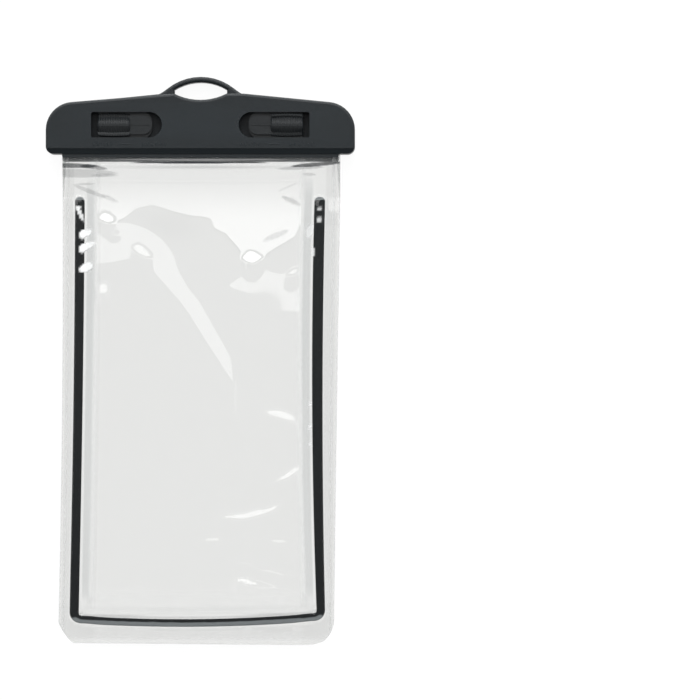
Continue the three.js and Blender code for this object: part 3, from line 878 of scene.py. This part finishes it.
@dataclass
class SeamU:
    """The black welded U: down one side, along the bowed bottom and up the other."""

    pocket: Pocket
    sway: Sway
    bottom_width: float = 2.95
    step: float = 1.2
    tip_steps: int = 7
    corner_steps: int = 10
    bottom_steps: int = 36
    bottom_settles: float = 8.0
    section_points: int = 24
    side_power: float = 0.3
    face_power: float = 0.6
    face_gap: float = 0.04
    narrowest: float = 0.04

    def centre_line(self) -> Grid:
        """Points of the U's middle line from the left tip to the right one."""
        pocket = self.pocket
        corner = pocket.seam_corner
        turns = np.linspace(0, math.pi / 2, self.tip_steps)
        tips = pocket.seam_top - (pocket.seam_width / 2) * (1 - np.cos(turns))
        down = np.arange(pocket.seam_top, pocket.seam_bottom + corner, -self.step)
        down = np.concatenate([tips, down[down < tips[-1] - 0.1]])
        left = np.stack([np.full_like(down, -pocket.seam_half), down], axis=-1)
        turns = np.linspace(math.pi, 1.5 * math.pi, self.corner_steps)
        middle = np.array([corner - pocket.seam_half, pocket.seam_bottom + corner])
        arc = middle + corner * np.stack([np.cos(turns), np.sin(turns)], axis=-1)
        across = np.linspace(middle[0], 0, self.bottom_steps)[1:]
        bowed = pocket.bowed(across)
        bowed = bowed + (arc[-1, 1] - bowed[0]) * smooth(across, across[0] + self.bottom_settles, across[0])
        half = np.concatenate([left, arc, np.stack([across, bowed], axis=-1)])
        return np.concatenate([half, half[::-1][1:] * np.array([-1, 1])])

    def build(self, finish: Material) -> Piece:
        """Sweeps a flat, round-edged section along the middle line and stores where it is thinned."""
        pocket = self.pocket
        line = self.centre_line()
        tangent = np.gradient(line, axis=0)
        tangent /= np.linalg.norm(tangent, axis=1, keepdims=True)
        outward = np.stack([tangent[:, 1], -tangent[:, 0]], axis=-1)
        level = smooth(np.abs(tangent[:, 0]), 0.2, 0.95)
        half = pocket.seam_width / 2 + pocket.seam_spread
        half = half + (self.bottom_width - pocket.seam_width) / 2 * level
        fall = np.clip((pocket.seam_top - line[:, 1]) / (pocket.seam_width / 2), 0, 1)
        half = half * np.maximum(np.sqrt(1 - (1 - fall) ** 2), self.narrowest)
        turns = np.linspace(0, 2 * math.pi, self.section_points, endpoint=False)
        across = blunt(np.cos(turns), self.side_power)
        up = blunt(np.sin(turns), self.face_power) * (pocket.seam_half_height - self.face_gap)
        flat = line[:, None, :] + outward[:, None, :] * (half[:, None] * across[None, :])[..., None]
        x, y = flat[..., 0], flat[..., 1]
        z = np.broadcast_to(pocket.parting + up[None, :], x.shape)
        points = np.stack([x + self.sway.shift(x, y), y + self.sway.drop(x, y), z], axis=-1)
        index = np.arange(x.size).reshape(x.shape)
        onward = np.roll(index, -1, axis=1)
        faces = np.stack([index[:-1], onward[:-1], onward[1:], index[1:]], axis=-1).reshape(-1, 4).tolist()
        faces += [index[0, ::-1].tolist(), index[-1].tolist()]
        piece = new_piece("seam_band", points.reshape(-1, 3), faces, finish)
        lower = pocket.seam_distance(x, y) / (pocket.seam_width / 2)
        bottom = level[:, None] * smooth(lower, -0.5, 0.3)
        caps = smooth(y, pocket.seam_top - 1.7, pocket.seam_top - 0.9)
        mark_points(piece, "thinned", np.maximum(bottom, caps).ravel())
        return piece


@dataclass
class MouthGusset:
    """The film's side edge beside the mouth, which joins the two walls where they part."""

    pocket: Pocket
    sway: Sway
    flank: Flank
    thickness: float = 0.3
    inset: float = 0.2
    fold_depth: float = 0.35
    milk: float = 0.05
    steps_along: int = 24
    steps_up: int = 12

    def build(self, finish: Material) -> Piece:
        """Makes the narrow wedge of film, a closed shell that bows in at its middle."""
        pocket = self.pocket
        sign = self.flank.value
        along = np.linspace(pocket.opening(), pocket.mouth + 0.1, self.steps_along)
        up, y = np.meshgrid(np.linspace(-1, 1, self.steps_up), along)
        opened = pocket.slot_height * (y - pocket.opening()) / pocket.mouth_run
        gap = opened + 0.5 * pocket.thickness
        x = sign * (pocket.half_width - self.inset - self.fold_depth * opened * (1 - up**2))
        x = x + self.sway.shift(sign * np.full_like(x, pocket.half_width), y)
        face = np.stack([x, y, pocket.parting + gap * up], axis=-1)
        points, faces = shell(face, face - np.array([sign * self.thickness, 0.0, 0.0]))
        piece = new_piece(f"{self.flank.name.lower()}_mouth_edge", points, faces, finish)
        if self.flank is Flank.LEFT:
            piece.data.flip_normals()
        mark_points(piece, "haze_and_painted_glints", np.full(len(points), self.milk))
        return piece


# The clamp


@dataclass
class ClampDress:
    """The clamp's own pieces: their finishes and the smooth shading of their rounded edges."""

    smooth_below: float = math.radians(32)
    edge_round: float = 0.12

    def dress(self, node: str, finish: Material) -> None:
        """Gives one node its finish, smooth curves and softly rounded edges.

        Args:
            node: The node's name.
            finish: Its material.
        """
        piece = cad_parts[node]
        mesh = piece.data
        mesh.materials.clear()
        mesh.materials.append(finish)
        mesh.polygons.foreach_set("use_smooth", [True] * len(mesh.polygons))
        mesh.set_sharp_from_angle(angle=self.smooth_below)
        bevel = piece.modifiers.new("soft_edges", "BEVEL")
        bevel.width = self.edge_round * MM
        bevel.segments = 2
        bevel.limit_method = "ANGLE"
        bevel.angle_limit = self.smooth_below
        bevel.use_clamp_overlap = True
        bevel.harden_normals = True
        LOG.info("dressed %s", node)


@dataclass
class LockMarks:
    """Plain raised strokes below a lock's window: a row, a dash and a longer row, like a scale."""

    flank: Flank
    stroke: tuple[float, float] = (0.28, 1.5)
    pitch: float = 1.75
    low_share: float = 0.72
    dash: tuple[float, float] = (4.4, 0.28)
    rings: tuple[tuple[float, float], ...] = ((0.0, -0.05), (0.0, 0.08), (0.1, 0.2))
    below_keeper: float = 2.25
    counts: tuple[int, int] = (5, 6)
    row_starts: tuple[float, float] = (-13.2, 6.6)
    sharp_above: float = math.radians(30)

    def strokes(self) -> list[tuple[float, float, float, float]]:
        """Each stroke's middle and half sizes, measured from the window's middle."""
        half_width, half_height = self.stroke[0], self.stroke[1] / 2
        found = [(0.0, 0.0, self.dash[0] / 2, self.dash[1] / 2)]
        for start, count in zip(self.row_starts, self.counts):
            for step in range(count):
                tall = half_height * (1.0 if step % 2 else self.low_share)
                found.append((start + step * self.pitch, tall - half_height, half_width, tall))
        return found

    def build(self, finish: Material) -> Piece:
        """Makes all strokes of one window as one mesh of small bars with sloping rims."""
        keeper_low, keeper_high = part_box(f"{self.flank.name.lower()}_latch_keeper")
        _, bar_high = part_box("front_bar")
        middle_x = (keeper_low.x + keeper_high.x) / 2 / MM
        middle_y = keeper_low.y / MM - self.below_keeper
        points, faces = [], []
        for dx, dy, half_x, half_y in self.strokes():
            first = len(points)
            for inset, height in self.rings:
                for sx, sy in ((-1, -1), (1, -1), (1, 1), (-1, 1)):
                    x = middle_x + dx + sx * (half_x - inset)
                    points.append((x, middle_y + dy + sy * (half_y - inset), bar_high.z / MM + height))
            for ring in range(len(self.rings) - 1):
                for side in range(4):
                    a, b = first + 4 * ring + side, first + 4 * ring + (side + 1) % 4
                    faces.append((a, b, b + 4, a + 4))
            faces.append(tuple(first + 8 + k for k in range(4)))
            faces.append(tuple(first + 3 - k for k in range(4)))
        piece = new_piece(f"{self.flank.name.lower()}_lock_marks", np.array(points), faces, finish)
        piece.data.set_sharp_from_angle(angle=self.sharp_above)
        return piece


# The studio


@dataclass
class Softbox:
    """A rectangular lamp: its middle, size, the point it faces and how bright its face is."""

    name: str
    place: tuple[float, float, float]
    size: tuple[float, float]
    aim: tuple[float, float, float]
    radiance: float

    def build(self) -> None:
        """Adds the lamp, unseen by the camera itself."""
        data = bpy.data.lights.new(self.name, "AREA")
        data.shape = "RECTANGLE"
        data.size, data.size_y = self.size
        data.energy = self.radiance * math.pi * self.size[0] * self.size[1]
        lamp = bpy.data.objects.new(self.name, data)
        lamp.location = self.place
        direction = Vector(self.aim) - Vector(self.place)
        lamp.rotation_euler = direction.to_track_quat("-Z", "Y").to_euler()
        lamp.visible_camera = False
        bpy.context.scene.collection.objects.link(lamp)


@dataclass
class Studio:
    """The camera straight above the table, the white table itself, the lamps and the room."""

    camera_height: float = 1.8
    camera_x: float = 0.0599
    camera_y: float = 0.0038
    field_width: float = 0.28
    sensor: float = 36.0
    table_half: float = 4.0
    table_level: float = -0.15
    table_steps: int = 9
    table_matt: float = 0.92
    table_glow: float = 1.04
    table_share_white: float = 0.9
    ceiling: float = 0.1
    north_horizon: float = 1.1
    south_horizon: float = 0.4
    north_range: tuple[float, float] = (-0.2, 0.7)
    ceiling_range: tuple[float, float] = (0.3, 0.7)

    def camera(self) -> None:
        """Puts the camera over the pouch, so that its field at the clamp's face is field_width."""
        _, clamp_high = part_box("front_bar")
        data = bpy.data.cameras.new("camera")
        data.sensor_width = self.sensor
        data.lens = self.sensor * (self.camera_height - clamp_high.z) / self.field_width
        data.clip_start = 0.01
        data.clip_end = 50.0
        camera = bpy.data.objects.new("camera", data)
        camera.location = (self.camera_x, self.camera_y, self.camera_height)
        bpy.context.scene.collection.objects.link(camera)
        bpy.context.scene.camera = camera

    def seen_through(self, canvas: Canvas) -> Value:
        """1 for rays from the camera, straight or through the film."""
        path = canvas.add("ShaderNodeLightPath")
        seen = Value(canvas, path.outputs["Is Camera Ray"])
        return seen.most(Value(canvas, path.outputs["Is Transmission Ray"]))

    def table(self) -> None:
        """Lays the table, white to the eye and still shaded by what lies on it."""
        canvas = Canvas(bpy.data.materials.new("white_table"))
        glossy = canvas.value("ShaderNodeLightPath", None, None, "Is Glossy Ray")
        seen = self.seen_through(canvas).most(glossy)
        matt = canvas.add("ShaderNodeBsdfDiffuse", None, {"Color": grey(self.table_matt)})
        glow = {"Color": grey(1.0), "Strength": self.table_glow}
        white = canvas.add("ShaderNodeEmission", None, glow)
        canvas.surface(canvas.mixed(seen * self.table_share_white, matt, white))
        count = self.table_steps
        steps = np.linspace(-self.table_half, self.table_half, count) / MM
        x, y = np.meshgrid(steps, steps)
        points = np.stack([x, y, np.full_like(x, self.table_level)], axis=-1).reshape(-1, 3)
        faces = quads(np.arange(count * count).reshape(count, count)).tolist()
        new_piece("table", points, faces, canvas.owner)

    def room(self) -> None:
        """Makes a room that is white to the eye and, for the light, bright low down and dim overhead."""
        world = bpy.data.worlds.new("room")
        bpy.context.scene.world = world
        canvas = Canvas(world)
        direction = canvas.value("ShaderNodeTexCoord", None, None, "Generated")
        up = canvas.value("ShaderNodeSeparateXYZ", None, {0: direction}, "Z").rise(*self.ceiling_range)
        north = canvas.value("ShaderNodeSeparateXYZ", None, {0: direction}, "Y").rise(*self.north_range)
        horizon = north * (self.north_horizon - self.south_horizon) + self.south_horizon
        level = horizon + up * (self.ceiling - horizon)
        level = level + self.seen_through(canvas) * (1.0 - level)
        canvas.surface(canvas.add("ShaderNodeBackground", None, {"Color": grey(1.0), "Strength": level}))

    def lamps(self) -> None:
        """Hangs the key over a low strip, dim fills round it and strips for the film to mirror."""
        for lamp in LAMPS:
            lamp.build()

    def build(self) -> None:
        """Sets the view up and makes camera, table, room and lamps."""
        bpy.context.scene.view_settings.view_transform = "Standard"
        self.camera()
        self.table()
        self.room()
        self.lamps()


LAMPS = [
    Softbox("north_key", (0.0, 1.45, 0.95), (1.4, 0.55), (0.0, 0.05, 0.0), 7.0),
    Softbox("north_strip", (0.0, 2.1, 0.16), (3.2, 0.34), (0.0, 0.1, 0.02), 8.0),
    Softbox("left_fill", (-1.4, -0.1, 1.2), (1.8, 1.5), (0.0, 0.0, 0.0), 0.75),
    Softbox("right_fill", (1.4, -0.1, 1.2), (1.8, 1.5), (0.0, 0.0, 0.0), 0.75),
    Softbox("south_fill", (0.0, -1.7, 0.4), (1.6, 0.5), (0.0, 0.0, 0.0), 0.9),
    Softbox("edge_light", (0.0, 0.9, 1.2), (2.4, 0.5), (0.0, 0.1, 0.0), 2.4),
    Softbox("film_shine", (0.0, 0.1317, 1.2), (1.6, 0.0566), (0.0, 0.1317, 0.0), 2.4),
    Softbox("film_glint", (0.0, 0.42, 1.2), (1.2, 0.16), (0.0, 0.42, 0.0), 4.0),
]

# The front film's shine, creases, painted glints and painted shade, in millimetres and degrees

FRONT_SHINE = Lean(
    (-41.0, -35.0, -29.5, -25.6, -18.8, -11.1, -4.2, 5.0, 6.5)
    + (11.1, 16.3, 18.0, 21.5, 24.0, 30.3, 38.7, 41.0),
    (63.5,) * 17,
    (55.7, 54.9, 57.6, 61.2, 63.0, 60.3, 58.4, 57.2, 52.8)
    + (50.4, 44.2, 38.6, 38.0, 39.4, 44.0, 49.2, 55.0),
    slope=0.0195,
)

FRONT_GLINTS = [
    Lean(
        (-40.2, -38.2, -36.2, -34.6),
        (57.5, 59.0, 58.6, 57.0),
        (56.5, 55.0, 54.4, 55.0),
        slope=0.13,
        settles_over=6.0,
        end_fade=1.2,
    ),
    Lean(
        (-40.2, -38.4, -36.4),
        (29.6, 31.4, 30.4),
        (26.4, 25.2, 26.4),
        slope=0.15,
        settles_over=7.0,
        end_fade=1.0,
    ),
    Lean(
        (18.2, 20.2, 22.6, 25.6),
        (41.4, 43.6, 43.4, 41.4),
        (40.2, 38.6, 38.2, 40.6),
        slope=0.145,
        settles_over=7.0,
        end_fade=1.2,
    ),
    Lean(
        (36.2, 38.2, 40.0, 41.2),
        (34.8, 36.6, 37.2, 36.6),
        (33.8, 33.6, 34.8, 35.8),
        slope=0.13,
        settles_over=6.0,
        end_fade=1.0,
    ),
    Lean(
        (27.0, 29.1, 32.5, 36.0, 39.1, 40.4),
        (-21.0, -20.1, -19.8, -20.6, -22.7, -24.8),
        (-21.4, -22.4, -23.5, -24.6, -25.2, -25.4),
        slope=0.19,
        settles_over=16.0,
        end_fade=1.6,
    ),
    Lean(
        (32.1, 36.2, 39.2, 40.3),
        (-47.8, -44.8, -42.8, -42.8),
        (-49.4, -47.9, -45.8, -45.0),
        slope=0.215,
        settles_over=14.0,
        end_fade=1.4,
    ),
    Lean(
        (10.2, 14.0, 18.8, 22.9, 27.8, 31.4, 32.9),
        (-61.8, -61.7, -61.3, -60.0, -59.4, -58.0, -57.6),
        (-63.4, -64.2, -64.3, -63.3, -61.9, -60.5, -59.3),
        slope=0.22,
        settles_over=16.0,
        end_fade=1.6,
    ),
    Lean(
        (15.4, 19.8, 25.0, 29.8, 35.0),
        (-86.9, -86.7, -88.1, -89.5, -91.6),
        (-89.2, -90.6, -91.7, -92.5, -92.7),
        slope=0.234,
        settles_over=16.0,
        end_fade=1.6,
    ),
    Lean(
        (-40.0, -34.9, -28.0, -20.3, -14.2, -9.7, -7.3, -3.5, 1.1, 7.9, 14.0),
        (54.0, 54.6, 54.6, 52.0, 48.0, 42.0, 35.2, 28.9, 23.6, 12.0, 2.0),
        (38.0, 38.4, 40.0, 37.4, 30.5, 25.2, 22.6, 17.0, 10.0, -0.5, -10.0),
        slope=0.0537,
        slope_growth=0.0006944,
        settles_over=60.0,
    ),
    Lean(
        (13.0, 18.1, 20.5, 26.5, 32.7, 41.0),
        (31.2, 34.4, 36.6, 36.6, 35.0, 35.2),
        (28.0, 26.2, 25.6, 21.3, 18.2, 18.2),
        slope=0.0537,
        slope_growth=0.0006944,
        settles_over=40.0,
    ),
    Lean(
        (-1.8, 5.1, 18.9, 25.0, 37.4),
        (-72.4, -70.8, -69.8, -71.4, -72.0),
        (-72.9, -73.4, -73.0, -74.6, -73.2),
        slope=0.104,
        settles_over=7.0,
        end_fade=1.0,
    ),
    Lean(
        (7.8, 12.9, 18.8, 25.0, 32.2, 39.6),
        (-83.2, -81.2, -80.3, -83.2, -84.3, -87.4),
        (-83.8, -83.0, -82.4, -85.2, -87.0, -88.6),
        slope=0.112,
        settles_over=5.0,
        end_fade=1.0,
    ),
    Lean(
        (-26.3, -24.7, -21.6, -19.5),
        (45.6, 46.6, 45.2, 42.8),
        (44.4, 42.4, 40.8, 40.8),
        slope=0.118,
        settles_over=6.0,
        end_fade=1.2,
    ),
]

FRONT_RIDGES = [
    Crease(-34.1, 49.6, 1.7, 1.4, 0, 0.16),
    Crease(34.0, 10.2, 5.5, 1.1, -12, 0.1),
    Crease(29.0, -73.0, 8.0, 1.6, -20, 0.12, bend=-0.8),
    Crease(-22.0, -67.0, 8.0, 1.6, 3, 0.06),
]

# Painted glints: pale patches that stand in for the lamps' reflections on the stripes and the side walls,
# and a painted reflection across the mouth over the retainer.
FRONT_PAINTED_GLINTS = [
    Mark(-45.2, 50.8, 2.6, 1.6, 12, 1.0),
    Mark(-46.9, 50.0, 1.4, 1.9, 0, 0.9),
    Mark(-44.6, 45.6, 3.3, 1.5, 20, 1.0),
    Mark(-47.0, 44.4, 1.5, 1.9, -20, 0.9),
    Mark(-45.2, 36.9, 3.5, 1.9, 24, 1.0),
    Mark(-47.9, 58.4, 3.6, 0.8, -66, 0.75),
    Mark(-48.9, 60.6, 1.3, 0.8, 20, 0.6),
    Mark(44.6, 51.4, 1.6, 3.2, -20, 0.6),
    Mark(46.1, 43.2, 0.8, 2.0, 0, 0.5),
    Mark(48.3, 56.0, 0.6, 1.6, 0, 0.5),
    Mark(48.3, 60.6, 0.6, 0.7, 0, 0.45),
    Mark(45.2, -18.0, 0.9, 0.8, 0, 0.9),
    Mark(45.1, -27.2, 0.8, 0.7, 0, 0.8),
    Mark(45.2, -33.8, 0.7, 0.6, 0, 0.7),
    Mark(0.0, 80.1, 40.0, 0.45, 0, 0.3),
]

# Painted shade: dark marks that stand in for the clamp's dark reflections and the shadow under its lip near
# the mouth, darker marks and a patch on the upper panel, and a dark line near the bottom.
FRONT_PAINTED_SHADE = [
    Mark(-50.5, 77.7, 11.0, 1.0, -1.0, 0.5),
    Mark(-42.5, 77.0, 6.0, 0.85, -7.0, 0.3),
    Mark(-49.0, 74.7, 17.5, 1.9, -1.0, 0.15),
    Mark(-38.0, 73.7, 6.0, 0.8, 0.0, 0.07),
    Mark(0.0, 78.95, 31.0, 0.42, 0.0, 0.72),
    Mark(-3.0, 78.75, 16.0, 0.5, 0.0, 0.3),
    Crease(2.0, 77.0, 28.0, 0.6, 0.0, 0.14),
    Mark(46.5, 78.2, 10.5, 0.85, 5.0, 0.56),
    Mark(40.5, 76.8, 10.0, 0.8, 3.0, 0.16),
    Mark(-46.0, 70.4, 4.5, 0.4, 0.0, 0.12),
    Mark(-44.0, 67.4, 8.0, 0.9, -22.0, 0.13),
    Mark(-36.0, 64.6, 4.0, 0.8, -24.0, 0.1),
    Mark(37.0, 63.6, 4.6, 1.0, -24.0, 0.16),
    Mark(31.0, 49.6, 6.0, 1.2, 22.0, 0.1),
    Mark(44.0, 74.2, 3.0, 0.6, 0.0, 0.12),
    Mark(35.5, 69.0, 4.5, 0.5, 24.0, 0.05),
    Crease(-11.5, 54.0, 13.0, 6.0, -15.0, 0.02),
    Crease(0.0, -98.6, 60.0, 0.9, 0.0, 0.03),
]


def dress_frame() -> None:
    """Gives every frame piece that stays visible its finish."""
    clamp = MouldedPlastic("clamp_charcoal", (0.006, 0.0092, 0.0114), roughness=0.4, shine=0.36).material()
    lock = MouldedPlastic("lock_charcoal", (0.0062, 0.0084, 0.01), roughness=0.4, shine=0.4).material()
    # The keepers' darker black is partly their own colour and partly painted shade for the dark insides of
    # the windows.
    inside = MouldedPlastic("keeper_black_painted_shade", (0.0052, 0.0068, 0.008), roughness=0.5, shine=0.2).material()
    # The retainer's grey is lightened to paint the reflection and haze of the film in front of it and to
    # make up for the shadow under the clamp: painted reflection.
    strip = MouldedPlastic("retainer_grey_painted_reflection", (0.185, 0.195, 0.2)).material()
    seal = SealRubber().material()
    dress = ClampDress()
    for node in ("front_bar", "rear_bar"):
        dress.dress(node, clamp)
    for node in ("front_film_retainer", "rear_film_retainer"):
        dress.dress(node, strip)
    for flank in Flank:
        dress.dress(f"{flank.name.lower()}_latch", lock)
        dress.dress(f"{flank.name.lower()}_latch_keeper", inside)
        marks = LockMarks(flank).build(clamp)
        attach(marks, Body.CLAMP.value)
        LOG.info("made %s", marks.name)
    for node in ("front_seal", "rear_seal"):
        dress.dress(node, seal)


def build_pocket() -> None:
    """Makes the two walls of film, the seam between them and the edges beside the mouth."""
    pocket = Pocket()
    sway = Sway(edge_half=pocket.half_width, seam_half=pocket.seam_half)
    film = ClearFilm("film_clear").material()

    front_wall = FilmWall(
        pocket,
        sway,
        Side.FRONT,
        bulge=4.2,
        crown=0.2,
        creases=[FRONT_SHINE, *FRONT_GLINTS, *FRONT_RIDGES],
        painted_glints=FRONT_PAINTED_GLINTS,
        painted_shade_marks=FRONT_PAINTED_SHADE,
        shine=FRONT_SHINE,
    )
    front = front_wall.build(film)
    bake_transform(front)
    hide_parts("front_film")

    back = FilmWall(pocket, sway, Side.BACK, bulge=5.85).build(film)
    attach(back, Body.BACK.value)
    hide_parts("back_film")

    seam = SeamU(pocket, sway).build(SeamPlastic().material())
    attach(seam, Body.BACK.value)
    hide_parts("seam_strip")

    edges = [MouthGusset(pocket, sway, flank).build(film) for flank in Flank]
    for edge in edges:
        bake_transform(edge)
    for piece in (front, back, seam, *edges):
        LOG.info("made %s with %d faces", piece.name, len(piece.data.polygons))


def main() -> None:
    """Builds the studio, dresses the frame and makes the pocket."""
    logging.basicConfig(level=logging.INFO, format="%(name)s: %(message)s")
    Studio().build()
    dress_frame()
    build_pocket()


if __name__ == "__main__":
    main()
